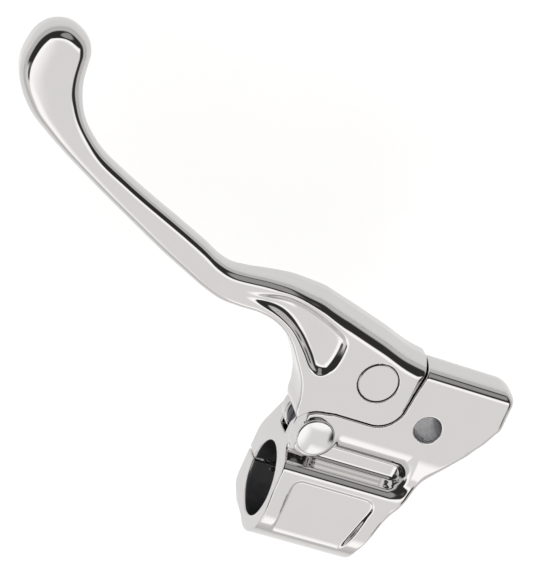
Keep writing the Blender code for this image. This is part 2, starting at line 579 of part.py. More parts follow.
# Cable anchor: barrel with a pocket for the cable's nipple, washer and retaining ring under the lever
def make_anchor():
    radius = ANCHOR_DIAMETER / 2
    neck = radius - 1.5 * MM
    washer_high = TOP_Z - ARM_HEIGHT - GAP
    washer_low = washer_high - ANCHOR_WASHER_HEIGHT
    ring_high = washer_low - GAP
    ring_low = ring_high - RING_HEIGHT
    tail = ring_low - GAP - ANCHOR_TAIL
    top = TOP_Z - 0.1 * MM
    profile = [(0, tail), (neck, tail), (neck, ring_low - GAP), (neck - 1 * MM, ring_low - GAP)]
    profile += [(neck - 1 * MM, ring_high + GAP), (neck, ring_high + GAP), (neck, washer_high + 2 * GAP)]
    profile += [(radius, washer_high + 2 * GAP), (radius, top - 0.3 * MM), (radius - 0.3 * MM, top), (0, top)]
    barrel = turned("cable_anchor_pin", profile, anchor_axis_point, "Z", 48, CHROME)
    pocket_radius = CABLE_NIPPLE_DIAMETER / 2
    pocket_top = CABLE_Z + NIPPLE_HALF_LENGTH
    pocket = rod("nipple_pocket", pocket_radius, -30 * MM, pocket_top, anchor_axis_point, "Z", 32)
    half = CABLE_WIRE_SLOT / 2
    start = ANCHOR[0] + 1 * MM
    slot = [(start, ANCHOR[1] - half), (start + 20 * MM, ANCHOR[1] - half)]
    slot += [(start + 20 * MM, ANCHOR[1] + half), (start, ANCHOR[1] + half)]
    wire_slot = prism("anchor_wire_slot", slot, -30 * MM, CABLE_Z + half)
    combine(barrel, "DIFFERENCE", pocket, wire_slot)
    inner = neck + GAP
    outer = anchor_washer_radius
    limits = (washer_low, washer_high)
    washer = ring("anchor_washer", inner, outer, *limits, anchor_axis_point, finish=PLATED_STEEL)
    clip_inner = neck - 1 * MM + GAP
    clip_outer = neck + 1.6 * MM
    low, high = ring_low, ring_high
    clip = ring("anchor_pin_ring", clip_inner, clip_outer, low, high, anchor_axis_point, finish=SPRING_STEEL)
    return barrel, washer, clip


# Clamp screws: socket heads with split lock washers, in steel inserts pressed into the back lug
def make_clamp_screw(place, x):
    point = (x, 0, SCREW_Z)
    washer_low = SCREW_SEAT_Y + GAP
    washer_high = washer_low + LOCK_WASHER_HEIGHT
    head_low = washer_high + GAP
    head_high = head_low + SCREW_HEAD_HEIGHT
    head_radius = SCREW_HEAD_DIAMETER / 2
    shank = SCREW_DIAMETER / 2
    insert_high = -CLAMP_SPLIT / 2 - INSERT_START
    insert_low = insert_high - INSERT_LENGTH
    end = insert_low + 1 * MM
    profile = [(0, end), (shank - SCREW_CHAMFER, end), (shank, end + SCREW_CHAMFER), (shank, head_low)]
    profile += [(head_radius, head_low), (head_radius, head_high - SCREW_CHAMFER)]
    profile += [(head_radius - SCREW_CHAMFER, head_high), (0, head_high)]
    screw = turned("clamp_screw_" + place, profile, point, "Y", 32, PLATED_STEEL)
    across_corners = HEX_SOCKET_WIDTH / math.cos(math.radians(30)) / 2
    socket_low = head_high - HEX_SOCKET_DEPTH
    socket = rod("socket_" + place, across_corners, socket_low, head_high + 5 * MM, point, "Y", 6)
    combine(screw, "DIFFERENCE", socket)
    clear = shank + RUNNING_FIT
    washer = "lock_washer_" + place
    ring(washer, clear, head_radius - 0.1 * MM, washer_low, washer_high, point, "Y", 32, SPRING_STEEL)
    insert = "thread_insert_" + place
    ring(insert, clear, clear + INSERT_WALL, insert_low, insert_high, point, "Y", 32, PLATED_STEEL)


perch = make_perch()
lever = make_lever()
bush = make_pivot()
anchor_pieces = make_anchor()
for screw_place, screw_x in SCREW_XS.items():
    make_clamp_screw(screw_place, screw_x)

lever_axis = axis_empty("lever_axis", pivot_axis_point)
anchor_axis = axis_empty("anchor_axis", anchor_axis_point, lever_axis)
hang_on(lever_axis, pivot_axis_point, lever, bush)
hang_on(anchor_axis, anchor_axis_point, *anchor_pieces)
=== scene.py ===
"""Clutch lever and perch: the finished surfaces, in metres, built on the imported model."""

import json
import math

import bpy
import numpy as np
from mathutils import Matrix, Vector


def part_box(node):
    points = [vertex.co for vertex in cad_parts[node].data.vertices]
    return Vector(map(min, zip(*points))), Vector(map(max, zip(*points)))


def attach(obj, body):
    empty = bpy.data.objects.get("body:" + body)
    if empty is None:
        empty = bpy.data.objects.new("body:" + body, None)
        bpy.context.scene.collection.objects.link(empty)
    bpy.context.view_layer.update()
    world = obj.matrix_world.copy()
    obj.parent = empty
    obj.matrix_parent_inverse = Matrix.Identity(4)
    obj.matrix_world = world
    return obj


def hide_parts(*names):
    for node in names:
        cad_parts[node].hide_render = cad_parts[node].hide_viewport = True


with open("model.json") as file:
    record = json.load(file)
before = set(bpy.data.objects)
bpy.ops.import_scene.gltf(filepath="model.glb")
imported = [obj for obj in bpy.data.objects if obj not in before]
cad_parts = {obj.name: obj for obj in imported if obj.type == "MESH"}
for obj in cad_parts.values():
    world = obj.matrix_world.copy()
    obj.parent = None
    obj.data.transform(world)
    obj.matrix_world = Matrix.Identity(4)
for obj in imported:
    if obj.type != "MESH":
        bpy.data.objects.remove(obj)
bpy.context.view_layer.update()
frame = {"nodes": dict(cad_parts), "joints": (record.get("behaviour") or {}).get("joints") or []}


# Lever. One aluminium forging, ground, polished and chrome plated, with a scooped recess in its inner half
# and a tongue under it that carries the pivot's bush. Its shape is worked out on a grid as distances in
# millimetres, negative inside, and its skin is where the distance is zero.
MM = 0.001
TOP = 16.0
SEAM = 0.4
PIVOT, ANCHOR = [tuple(value / MM for value in joint["pos_m"][:2]) for joint in frame["joints"]]
BOSS_RADIUS = 7.9
SEAM_CORNER = (-4.4, 44.6)
SEAM_RADIUS = 9.2
CABLE_Z = 8.0
FLANK_START_Z = 8.5
FLANK_LEAN = 0.42
GRID_STEP = 0.42
SEAM_BREAK = 0.3
BOSS_STEPS = 24
CROWN_WIDTH = 9.0
CROWN_DROP = 1.3
THINNEST_ROUND = 0.45
SCOOP_DEPTH = 2.0
SCOOP_FALL = 0.05
SCOOP_ROUND = 4.0
TONGUE_RADIUS = 7.2
TONGUE_LOW = -3.4
TONGUE_HIGH = 1.4
BUSH_HOLE_RADIUS = 5.8
BUSH_HOLE_TOP = 3.8
ANCHOR_HOLE_RADIUS = 6.8
CABLE_FAN_REACH = 24
CABLE_SLOT_HALF = 2.5


class Grid:
    """A block of sample points between two corners, in millimetres."""

    def __init__(self, low, high, step):
        self.low = np.array(low, float)
        self.step = step
        axes = [np.arange(a, b + step, step) for a, b in zip(low, high)]
        self.x = axes[0][:, None, None]
        self.y = axes[1][None, :, None]
        self.z = axes[2][None, None, :]

    def plan(self, points):
        return outline_distance(points, self.x[:, :, 0], self.y[:, :, 0])[:, :, None]

    def section(self, points):
        return outline_distance(points, self.y[0], self.z[0])[None, :, :]


def outline_distance(points, across, along):
    """Signed distance to a closed outline, negative inside, at each pair of coordinates."""
    across, along = np.broadcast_arrays(across, along)
    nearest = np.full(across.shape, 1e9)
    inside = np.zeros(across.shape, bool)
    ends = np.array(points, float)
    for start, end in zip(ends, np.roll(ends, -1, axis=0)):
        edge = end - start
        length = edge @ edge
        if length == 0:
            continue
        place = np.clip(((across - start[0]) * edge[0] + (along - start[1]) * edge[1]) / length, 0, 1)
        gap_a = across - start[0] - place * edge[0]
        gap_b = along - start[1] - place * edge[1]
        nearest = np.minimum(nearest, gap_a**2 + gap_b**2)
        if start[1] != end[1]:
            crosses = (start[1] > along) != (end[1] > along)
            meet = start[0] + (along - start[1]) * edge[0] / edge[1]
            inside ^= crosses & (across < meet)
    return np.where(inside, -1, 1) * np.sqrt(nearest)


def curve(points, steps=8, closed=False):
    """A smooth line through some tuples of numbers."""
    values = np.array(points, float)
    count = len(values)
    spans = count if closed else count - 1
    path = []
    for span in range(spans):
        picks = [span - 1, span, span + 1, span + 2]
        picks = [p % count if closed else min(max(p, 0), count - 1) for p in picks]
        a, b, c, d = values[picks]
        for t in np.arange(steps) / steps:
            bend = (2 * a - 5 * b + 4 * c - d) * t**2 + (3 * b - a - 3 * c + d) * t**3
            path.append((2 * b + (c - a) * t + bend) / 2)
    if not closed:
        path.append(values[-1])
    return path


def arc(centre, radius, start, end, steps=10):
    """Points along a part of a circle, between two angles in degrees."""
    turns = np.radians(np.linspace(start, end, steps + 1))
    return [(centre[0] + radius * math.cos(t), centre[1] + radius * math.sin(t)) for t in turns]


def common(a, b, radius=0.0):
    """What two solids share, with their shared edge rounded to a radius."""
    if np.isscalar(radius) and radius == 0:
        return np.maximum(a, b)
    rounded = np.sqrt(np.maximum(a + radius, 0) ** 2 + np.maximum(b + radius, 0) ** 2)
    return np.minimum(np.maximum(a, b), -radius) + rounded


def joined(a, b, radius=0.0):
    return -common(-a, -b, radius)


def cut(a, b, radius=0.0):
    return common(a, -b, radius)


def soften(field, passes):
    """Evens out a plan or section field, so that its surface has no creases."""
    weights = ((0, 0.25), (1, 0.5), (2, 0.25))
    for _ in range(passes):
        for axis in range(field.ndim):
            if field.shape[axis] < 9:
                continue
            side = np.take(field, [0], axis)
            end = np.take(field, [-1], axis)
            before = 2 * side - np.take(field, [1], axis)
            after = 2 * end - np.take(field, [-2], axis)
            wide = np.concatenate([before, field, after], axis)
            count = field.shape[axis]
            field = sum(w * np.take(wide, range(k, k + count), axis) for k, w in weights)
    return field


def ease(low, high, value):
    """A smooth step from 0 at the low value to 1 at the high value."""
    t = np.clip((value - low) / (high - low), 0, 1)
    return t * t * (3 - 2 * t)


def skin(name, field, grid):
    """The surface of a field as a smooth object: one point in each cell that the surface crosses."""
    field = np.ascontiguousarray(field, np.float32)
    shape = field.shape
    inside = field < 0
    cells = tuple(n - 1 for n in shape)
    total = np.zeros(cells + (3,), np.float32)
    hits = np.zeros(cells, np.float32)
    corners = [(i, j, k) for i in (0, 1) for j in (0, 1) for k in (0, 1)]

    def corner(values, c):
        return values[tuple(slice(o, o + n) for o, n in zip(c, cells))]

    for c in corners:
        for axis in range(3):
            if c[axis]:
                continue
            d = tuple(v + (1 if n == axis else 0) for n, v in enumerate(c))
            crossed = corner(inside, c) != corner(inside, d)
            a, b = corner(field, c)[crossed], corner(field, d)[crossed]
            point = np.zeros((len(a), 3), np.float32) + np.array(c, np.float32)
            point[:, axis] += a / (a - b)
            total[crossed] += point
            hits[crossed] += 1
    used = hits > 0
    index = np.full(cells, -1, np.int64)
    index[used] = np.arange(used.sum())
    points = np.argwhere(used) + total[used] / hits[used][:, None]

    slopes = np.stack(np.gradient(field), -1)

    def sample(values, at):
        base = np.clip(np.floor(at).astype(int), 0, np.array(shape) - 2)
        part = at - base
        result = 0
        for c in corners:
            weight = np.prod([part[:, n] if c[n] else 1 - part[:, n] for n in range(3)], axis=0)
            value = values[tuple((base + c).T)]
            result = result + (weight[:, None] * value if value.ndim > 1 else weight * value)
        return result

    # Each point steps on to the surface, no further than a set share of a cell.
    home = points.copy()
    reach = 0.7
    stride = 0.8
    flattest = 0.2
    for _ in range(4):
        slope = sample(slopes, points)
        size = np.maximum((slope**2).sum(1), flattest)
        points = points - (sample(field, points) / size)[:, None] * slope * stride
        points = np.clip(points, home - reach, home + reach)
    normals = sample(slopes, points)
    normals /= np.maximum(np.linalg.norm(normals, axis=1), 1e-9)[:, None]

    faces = []
    for axis in range(3):
        u, v = [n for n in range(3) if n != axis]
        if axis == 1:
            u, v = v, u
        lower = np.take(inside, range(shape[axis] - 1), axis)
        upper = np.take(inside, range(1, shape[axis]), axis)
        place = np.argwhere(lower != upper)
        within = (place[:, u] > 0) & (place[:, v] > 0)
        within &= (place[:, u] < cells[u]) & (place[:, v] < cells[v])
        place = place[within]
        outward = lower[tuple(place.T)]
        step_u, step_v = np.eye(3, dtype=int)[u], np.eye(3, dtype=int)[v]
        ring = [place - step_u - step_v, place - step_v, place, place - step_u]
        quads = np.stack([index[tuple(q.T)] for q in ring], 1)
        quads[~outward] = quads[~outward][:, ::-1]
        faces.append(quads)
    faces = np.concatenate(faces)
    faces = faces[(faces >= 0).all(1)]

    mesh = bpy.data.meshes.new(name)
    world = (grid.low + points * grid.step) * MM
    mesh.from_pydata(world.tolist(), [], faces.tolist())
    mesh.shade_smooth()
    mesh.normals_split_custom_set_from_vertices(normals.tolist())
    made = bpy.data.objects.new(name, mesh)
    bpy.context.scene.collection.objects.link(made)
    return made


def seam_line(gap):
    """The line where lever and perch meet, seen from above, moved towards the lever by a gap."""
    line = arc(PIVOT, BOSS_RADIUS + gap, 215, 92, BOSS_STEPS)
    line += [(-17.0, SEAM_CORNER[1] - SEAM_RADIUS + gap), (-13.0, SEAM_CORNER[1] - SEAM_RADIUS + gap)]
    line += arc(SEAM_CORNER, SEAM_RADIUS - gap, -90, -4, 20)
    line += [(5.5 - gap, 51.0), (6.4 - gap, 56.7), (6.8 - gap, 61.1), (6.8 - gap, 80.0)]
    return line


# Each row holds the front edge's x and y, the back edge's x and y, the underside's height, the rounding of
# the front and back edges, and how much the top is crowned.
lever_sections = (
    (-139.6, 127.2, -143.2, 126.7, 3.5, 5.0, 5.0, 0.8),
    (-136.0, 126.0, -146.4, 124.8, 3.3, 5.0, 4.8, 0.8),
    (-132.9, 123.7, -148.6, 121.5, 3.2, 4.8, 4.4, 0.8),
    (-131.2, 120.4, -149.6, 117.2, 3.2, 4.7, 3.8, 0.8),
    (-130.8, 117.0, -149.9, 112.6, 3.2, 4.6, 3.5, 0.9),
    (-130.3, 112.0, -148.7, 107.6, 3.6, 4.6, 3.4, 0.8),
    (-128.8, 106.8, -145.8, 102.6, 4.3, 4.6, 4.2, 0.7),
    (-126.3, 102.0, -141.5, 98.0, 5.1, 4.2, 3.8, 0.4),
    (-122.2, 97.5, -135.8, 94.2, 5.9, 3.9, 3.4, 0.2),
    (-116.4, 93.1, -126.5, 88.8, 6.4, 3.7, 3.1, 0.1),
    (-108.4, 89.2, -112.3, 81.3, 6.5, 3.6, 3.0, 0.0),
    (-100.3, 85.6, -104.2, 77.2, 6.5, 3.6, 3.0, 0.0),
    (-86.0, 79.8, -90.2, 70.2, 6.4, 3.7, 3.0, 0.0),
    (-77.0, 76.0, -80.5, 65.9, 6.0, 3.9, 2.8, 0.0),
    (-71.2, 73.2, -73.1, 62.8, 5.6, 4.1, 2.5, 0.0),
    (-66.0, 71.8, -66.5, 60.8, 5.1, 4.2, 2.2, 0.0),
    (-60.0, 71.9, -60.0, 60.5, 4.4, 4.1, 1.8, 0.0),
    (-53.0, 72.6, -53.5, 60.6, 3.4, 4.0, 1.5, 0.0),
    (-46.0, 73.0, -47.0, 59.2, 2.3, 3.9, 1.2, 0.0),
    (-39.0, 72.5, -41.0, 55.4, 1.2, 3.8, 1.0, 0.0),
    (-33.5, 71.9, -36.0, 49.3, 0.5, 3.7, 0.9, 0.0),
    (-29.0, 70.7, -31.8, 43.0, 0.1, 3.6, 0.8, 0.0),
    (-25.5, 69.7, -30.0, 37.6, 0.0, 3.6, 0.8, 0.0),
    (-22.5, 68.9, -28.5, 31.4, 0.0, 3.6, 0.8, 0.0),
    (-17.0, 67.3, -20.0, 24.0, 0.0, 3.6, 0.8, 0.0),
    (-9.0, 65.0, -10.0, 22.0, 0.0, 3.6, 0.8, 0.0),
    (0.0, 62.1, 0.0, 22.0, 0.0, 3.6, 0.8, 0.0),
    (10.0, 60.4, 10.0, 22.0, 0.0, 3.6, 0.8, 0.0),
)
run = np.array(curve(lever_sections, 10))
grid = Grid((-153.0, 18.0, -5.0), (9.0, 131.0, 18.0), GRID_STEP)
edge_points = [row[2:4] for row in lever_sections[::-1]] + [row[0:2] for row in lever_sections]
side = soften(grid.plan(curve(edge_points, 12)), 3)

# Height and rounding at each point in plan come from the nearest place along the lever.
middle = (run[:, 0:2] + run[:, 2:4]) / 2
plan_x, plan_y = np.broadcast_arrays(grid.x[:, :, 0], grid.y[:, :, 0])
best = np.full(plan_x.shape, 1e9)
sizes = np.zeros(plan_x.shape + (4,))
facing = np.zeros(plan_x.shape)
for here, after, start, end in zip(middle, middle[1:], run[:, 4:], run[1:, 4:]):
    edge = after - here
    place = np.clip(((plan_x - here[0]) * edge[0] + (plan_y - here[1]) * edge[1]) / (edge @ edge), 0, 1)
    off_x = plan_x - here[0] - place * edge[0]
    off_y = plan_y - here[1] - place * edge[1]
    distance = off_x**2 + off_y**2
    nearer = distance < best
    best = np.where(nearer, distance, best)
    sizes = np.where(nearer[..., None], start + place[..., None] * (end - start), sizes)
    facing = np.where(nearer, (edge[0] * off_y - edge[1] * off_x) / math.hypot(*edge), facing)
sizes = soften(sizes, 8)
underside, front_round, back_round, crown = (sizes[..., n][..., None] for n in range(4))
to_front = ease(-2.5, 2.5, facing)[..., None]
edge_round = back_round + (front_round - back_round) * to_front
towards_edge = np.clip((side + CROWN_WIDTH) / CROWN_WIDTH, 0, 1.2)
top = TOP - CROWN_DROP * crown * towards_edge**2
lean = FLANK_LEAN * ease(-60.0, -25.0, grid.x) * to_front
flank = (side + lean * np.maximum(grid.z - FLANK_START_Z, 0)) / np.sqrt(1 + lean**2)
lever = common(flank, grid.z - top, edge_round)
lower_round = np.minimum(edge_round, THINNEST_ROUND * (TOP - underside))
lever = common(lever, underside - grid.z, lower_round)

perch_side = grid.plan(seam_line(SEAM) + [(40, 80), (40, -20), (-70, -20), (-70, 10)])
lever = cut(lever, perch_side, SEAM_BREAK)

# The scooped recess is deepest by the pivot, and its floor runs out along the blade.
scoop_outline = curve(
    (
        (-70.0, 66.2),
        (-62.0, 67.3),
        (-55.0, 68.2),
        (-46.0, 68.9),
        (-38.3, 67.7),
        (-29.0, 64.6),
        (-23.2, 61.4),
        (-21.9, 57.0),
        (-22.9, 49.8),
        (-26.6, 46.4),
        (-30.6, 47.6),
        (-35.0, 52.5),
        (-40.0, 57.4),
        (-45.0, 60.6),
        (-50.0, 62.3),
        (-57.0, 63.0),
        (-66.0, 63.6),
    ),
    8,
    closed=True,
)
scoop_side = soften(grid.plan(scoop_outline), 4)
floor = TOP - SCOOP_DEPTH * ease(-72.0, -40.0, grid.x)
floor = floor + SCOOP_FALL * (grid.x + 30.0) * ease(-58.0, -44.0, grid.x)
scoop = common(scoop_side, floor - grid.z, SCOOP_ROUND)
lever = cut(lever, scoop, 0.7)

# The tongue runs in the perch's slot. The anchor's hole and the cable's slot are cut from the arm above.
tongue_outline = arc(PIVOT, TONGUE_RADIUS, 150, 345, 24) + [(-10.0, 33.0), (-7.6, 38.0), (-8.6, 41.8)]
tongue_outline += [(-23.0, 43.0), (-25.6, 37.0)]
tongue = common(grid.plan(tongue_outline), np.maximum(TONGUE_LOW - grid.z, grid.z - TONGUE_HIGH), 0.4)
lever = joined(lever, tongue, 0.6)
from_pivot = np.hypot(grid.x - PIVOT[0], grid.y - PIVOT[1])
from_anchor = np.hypot(grid.x - ANCHOR[0], grid.y - ANCHOR[1])
bush_hole = np.maximum(from_pivot - BUSH_HOLE_RADIUS, grid.z - BUSH_HOLE_TOP)
lever = cut(lever, bush_hole, 0.3)
lever = cut(lever, from_anchor - ANCHOR_HOLE_RADIUS, 0.12)
fan_end = ANCHOR[0] + CABLE_FAN_REACH
cable_fan = [(ANCHOR[0], 52.7), (ANCHOR[0], 47.5), (fan_end, 33.6), (fan_end, 52.7)]
cable_slot = common(grid.plan(cable_fan), np.abs(grid.z - CABLE_Z) - CABLE_SLOT_HALF, 1.0)
lever = cut(lever, cable_slot, 0.4)
lever_piece = skin("polished_lever", lever, grid)


def adder(tree):
    """A function that adds a node to one tree, with its settings and its inputs' values or links."""

    def add(kind, inputs=None, **settings):
        node = tree.nodes.new(kind)
        for name, value in settings.items():
            setattr(node, name, value)
        for socket, value in (inputs or {}).items():
            if isinstance(value, bpy.types.NodeSocket):
                tree.links.new(value, node.inputs[socket])
            else:
                node.inputs[socket].default_value = value
        return node

    return add


def surface_marks():
    """Shared masks: clouds from the buffing wheel, hairline scratches and pores."""
    group = bpy.data.node_groups.new("surface_marks", "ShaderNodeTree")
    for name in ("Cloud Scale", "Hairline Scale", "Pore Scale"):
        group.interface.new_socket(name, in_out="INPUT", socket_type="NodeSocketFloat")
    for name in ("Clouds", "Hairlines", "Pores"):
        group.interface.new_socket(name, in_out="OUTPUT", socket_type="NodeSocketFloat")
    add = adder(group)
    given = add("NodeGroupInput")
    place = add("ShaderNodeTexCoord").outputs["Object"]
    cloudy = {"Vector": place, "Scale": given.outputs["Cloud Scale"], "Detail": 5.0}
    clouds = add("ShaderNodeTexNoise", cloudy)
    lengthwise = add("ShaderNodeMapping", {"Vector": place, "Rotation": (0, 0, 0.45), "Scale": (1, 14, 14)})
    hairy = {"Vector": lengthwise.outputs["Vector"], "Scale": given.outputs["Hairline Scale"], "Detail": 3.0}
    hairs = add("ShaderNodeTexNoise", hairy)
    hairlines = add("ShaderNodeMapRange", {"Value": hairs.outputs[0], "From Min": 0.60, "From Max": 0.72})
    cells = add("ShaderNodeTexVoronoi", {"Vector": place, "Scale": given.outputs["Pore Scale"]})
    pitted = {"Value": cells.outputs["Distance"], "From Min": 0.12, "From Max": 0.30}
    pores = add("ShaderNodeMapRange", {**pitted, "To Min": 1.0, "To Max": 0.0})
    results = {"Clouds": clouds.outputs[0], "Hairlines": hairlines.outputs[0], "Pores": pores.outputs[0]}
    add("NodeGroupOutput", results)
    return group


marks = surface_marks()


def metal(name, colour, shade, roughness, depth, height="Clouds", scales=(160.0, 420.0, 1500.0)):
    """A bare or plated metal, whose colour and roughness each run between two values.

    The depth is its unevenness in metres, height names the mask that gives it, and each scale is a mask's.
    """
    made = bpy.data.materials.new(name)
    made.use_nodes = True
    add = adder(made.node_tree)
    uneven = add("ShaderNodeGroup", node_tree=marks)
    for socket, scale in zip(("Cloud Scale", "Hairline Scale", "Pore Scale"), scales):
        uneven.inputs[socket].default_value = scale
    darker = uneven.outputs["Pores" if height == "Pores" else "Clouds"]
    tint = add("ShaderNodeMix", {0: darker, 6: (*colour, 1.0), 7: (*shade, 1.0)}, data_type="RGBA")
    cloudy = {"Value": uneven.outputs["Clouds"], "To Min": roughness[0], "To Max": roughness[1]}
    worn = add("ShaderNodeMapRange", cloudy).outputs[0]
    hair_roughness = 0.05
    hairy = {0: uneven.outputs["Hairlines"], 1: hair_roughness, 2: worn}
    scratched = add("ShaderNodeMath", hairy, operation="MULTIPLY_ADD").outputs[0]
    bump = add("ShaderNodeBump", {"Height": uneven.outputs[height], "Strength": 0.5, "Distance": depth})
    shader = made.node_tree.nodes["Principled BSDF"]
    shader.inputs["Metallic"].default_value = 1.0
    made.node_tree.links.new(tint.outputs[2], shader.inputs["Base Color"])
    made.node_tree.links.new(scratched, shader.inputs["Roughness"])
    made.node_tree.links.new(bump.outputs[0], shader.inputs["Normal"])
    return made


chrome = metal("polished_chrome", (0.645, 0.635, 0.63), (0.625, 0.62, 0.62), (0.03, 0.07), 0.00002)
lever_piece.data.materials.append(chrome)
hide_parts("lever")
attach(lever_piece, "lever")

# Perch. One aluminium casting, polished and plated as the lever is. It holds the bar in a bore that is split
# underneath, the lever's tongue in a milled slot, the mirror's bolt in a plain hole, and the cable in a bore.
BAR_RADIUS = 12.7
END_X = -25.0
SPLIT_HALF = 0.42
NOSE_RADIUS = 8.0
NOSE_TOP_RADIUS = 4.8
GROOVE_BACK_Y = 31.0
GROOVE_ROLL = 8.6
GROOVE_DROP = 6.2
SHOULDER_RADIUS = 8.7
BOSS_ROUND = 1.4
SLOT_RADIUS = 8.0
SLOT_CORNER = 3.0
SLOT_LOW = -4.5
SLOT_HIGH = 3.5
PIN_HOLE_RADIUS = 4.3
PIN_TAIL_HOLE_RADIUS = 3.55
PIN_STEP_Z = -1.0
RING_POCKET_RADIUS = 5.5
RING_POCKET_TOP = -7.0
MIRROR_HOLE = (14.5, 39.7)
MIRROR_HOLE_RADIUS = 4.5
CABLE_BORE_RADIUS = 4.5
CABLE_SEAT_X = 21.0
WIRE_SLOT_HALF = 2.3
PANEL_FLOOR = 15.3
PANEL_CORNER = 3.2
SCREW_XS = (-17.0, 1.0)
SCREW_Z = -16.6
HEAD_SEAT_Y = 7.5
HEAD_SEAT_RADIUS = 3.9
SHANK_HOLE_RADIUS = 2.7
INSERT_HOLE_RADIUS = 3.8
INSERT_MOUTH_Y = -1.7
INSERT_BOTTOM_Y = -11.4

# The profile across the clamp and the arm is cut to the outline seen from above.
grid = Grid((-26.5, -19.0, -22.5), (40.5, 62.5, 17.5), GRID_STEP)
nose_low = (52.7, TOP - NOSE_RADIUS)
nose_high = (55.08, TOP - NOSE_TOP_RADIUS)
profile = [(4.0, TOP)] + arc((-3.0, 3.0), 14.0, 78, 200, 30)
profile += [(-16.0, -11.0)] + arc((-10.0, -16.4), 4.2, 190, 270, 8)
profile += [(7.6, -20.6), (11.0, -19.4), (19.0, -13.8), (26.6, -8.4), (33.0, -8.4), (38.6, 0.0)]
profile += arc(nose_low, NOSE_RADIUS, -90, 0, 18) + arc(nose_high, NOSE_TOP_RADIUS, 14.0, 90, 14)
for t in np.radians(range(0, 91, 6)):
    profile.append((GROOVE_BACK_Y - GROOVE_ROLL * math.sin(t), TOP - GROOVE_DROP + GROOVE_DROP * math.cos(t)))
profile += arc((18.6, 12.4), 2.6, -90, -165, 8) + arc((10.8, 11.2), 4.8, 15, 90, 10)
section = soften(grid.section(profile), 3)
boss_start = math.degrees(math.acos((END_X - PIVOT[0]) / BOSS_RADIUS))
outline = [(END_X, -30.0)] + arc(PIVOT, BOSS_RADIUS, boss_start, 92, BOSS_STEPS)
outline += seam_line(0.0)[BOSS_STEPS + 1 : -1] + [(6.9, 66.0)]
outline += arc((32.6, 55.4), 6.0, 80, 0, 12) + arc((33.6, 47.4), 5.0, 0, -25, 8)
inboard_side = [(36.7, 42.2), (35.0, 38.9), (32.0, 34.9), (28.6, 30.6)]
inboard_side += [(25.4, 25.9), (22.4, 20.0), (18.9, 12.0)]
outline += curve(inboard_side, 8)
outline += [(14.0, 0.0), (10.8, -9.0), (9.6, -30.0)]
around = soften(grid.plan(outline), 2)
edge_round = 0.3 + 2.4 * ease(8.0, 16.0, grid.x) * (1 - ease(44.0, 52.0, grid.y))
edge_round = edge_round + 2.4 * ease(30.0, 37.0, grid.x) * ease(45.0, 52.0, grid.y)
# The groove between clamp and arm fills up at its inboard end, and the pivot's boss has a rolled shoulder.
groove_end = grid.section([(10.0, 0.0), (34.0, 0.0), (34.0, 14.0), (10.0, 14.0)])
fill = common(groove_end, 15.2 - grid.x, 2.5)
perch = joined(section + 0 * grid.x, fill, 4.0)
from_pivot = np.hypot(grid.x - PIVOT[0], grid.y - PIVOT[1])
shoulder = common(from_pivot - SHOULDER_RADIUS, grid.z - TOP, 2.2)
shoulder = np.maximum(shoulder, 7.0 - grid.z)
perch = joined(perch, shoulder, 0.8)
perch = common(perch, around, edge_round)
boss = common(from_pivot - BOSS_RADIUS, np.maximum(grid.z - TOP, 8.0 - grid.z), BOSS_ROUND)
boss = common(boss, END_X - grid.x, 0.3)
perch = joined(perch, boss, 0.5)

# Bored and milled: the bar's bore and its split, the tongue's slot, the pin's hole and the ring's pocket.
bar_bore = np.hypot(grid.y, grid.z) - BAR_RADIUS
perch = cut(perch, bar_bore + 0 * grid.x, 0.4)
split = np.maximum(np.abs(grid.y) - SPLIT_HALF, grid.z + 5.0)
perch = cut(perch, split + 0 * grid.x, 0.2)
slot_outline = [(-60.0, PIVOT[1] - SLOT_RADIUS)] + arc(PIVOT, SLOT_RADIUS, -90, 0, 12)
slot_outline += [(-9.0, 29.0), (-4.0, 33.0)] + arc((-1.0, 33.0), SLOT_CORNER, 180, 90, 6)
slot_outline += [(-1.0, 80.0), (-60.0, 80.0)]
tongue_slot = common(grid.plan(slot_outline), np.maximum(SLOT_LOW - grid.z, grid.z - SLOT_HIGH), 0.3)
perch = cut(perch, tongue_slot, 0.3)
pin_hole = from_pivot - np.where(grid.z > PIN_STEP_Z, PIN_HOLE_RADIUS, PIN_TAIL_HOLE_RADIUS)
perch = cut(perch, pin_hole, 0.25)
ring_pocket = np.maximum(from_pivot - RING_POCKET_RADIUS, grid.z - RING_POCKET_TOP)
perch = cut(perch, ring_pocket, 0.25)

# The mirror's plain hole, the bore for the cable's outer, and the slot that the cable's wire drops through.
mirror_hole = np.hypot(grid.x - MIRROR_HOLE[0], grid.y - MIRROR_HOLE[1]) - MIRROR_HOLE_RADIUS
perch = cut(perch, mirror_hole + 0 * grid.z, 0.35)
from_cable = np.hypot(grid.y - ANCHOR[1], grid.z - CABLE_Z)
cable_bore = np.maximum(from_cable - CABLE_BORE_RADIUS, CABLE_SEAT_X - grid.x)
perch = cut(perch, cable_bore, 0.35)
to_wire = np.abs(grid.y - ANCHOR[1])
wire_slot = np.where(grid.z > CABLE_Z, from_cable, to_wire) - WIRE_SLOT_HALF
perch = cut(perch, wire_slot + 0 * grid.x, 0.3)

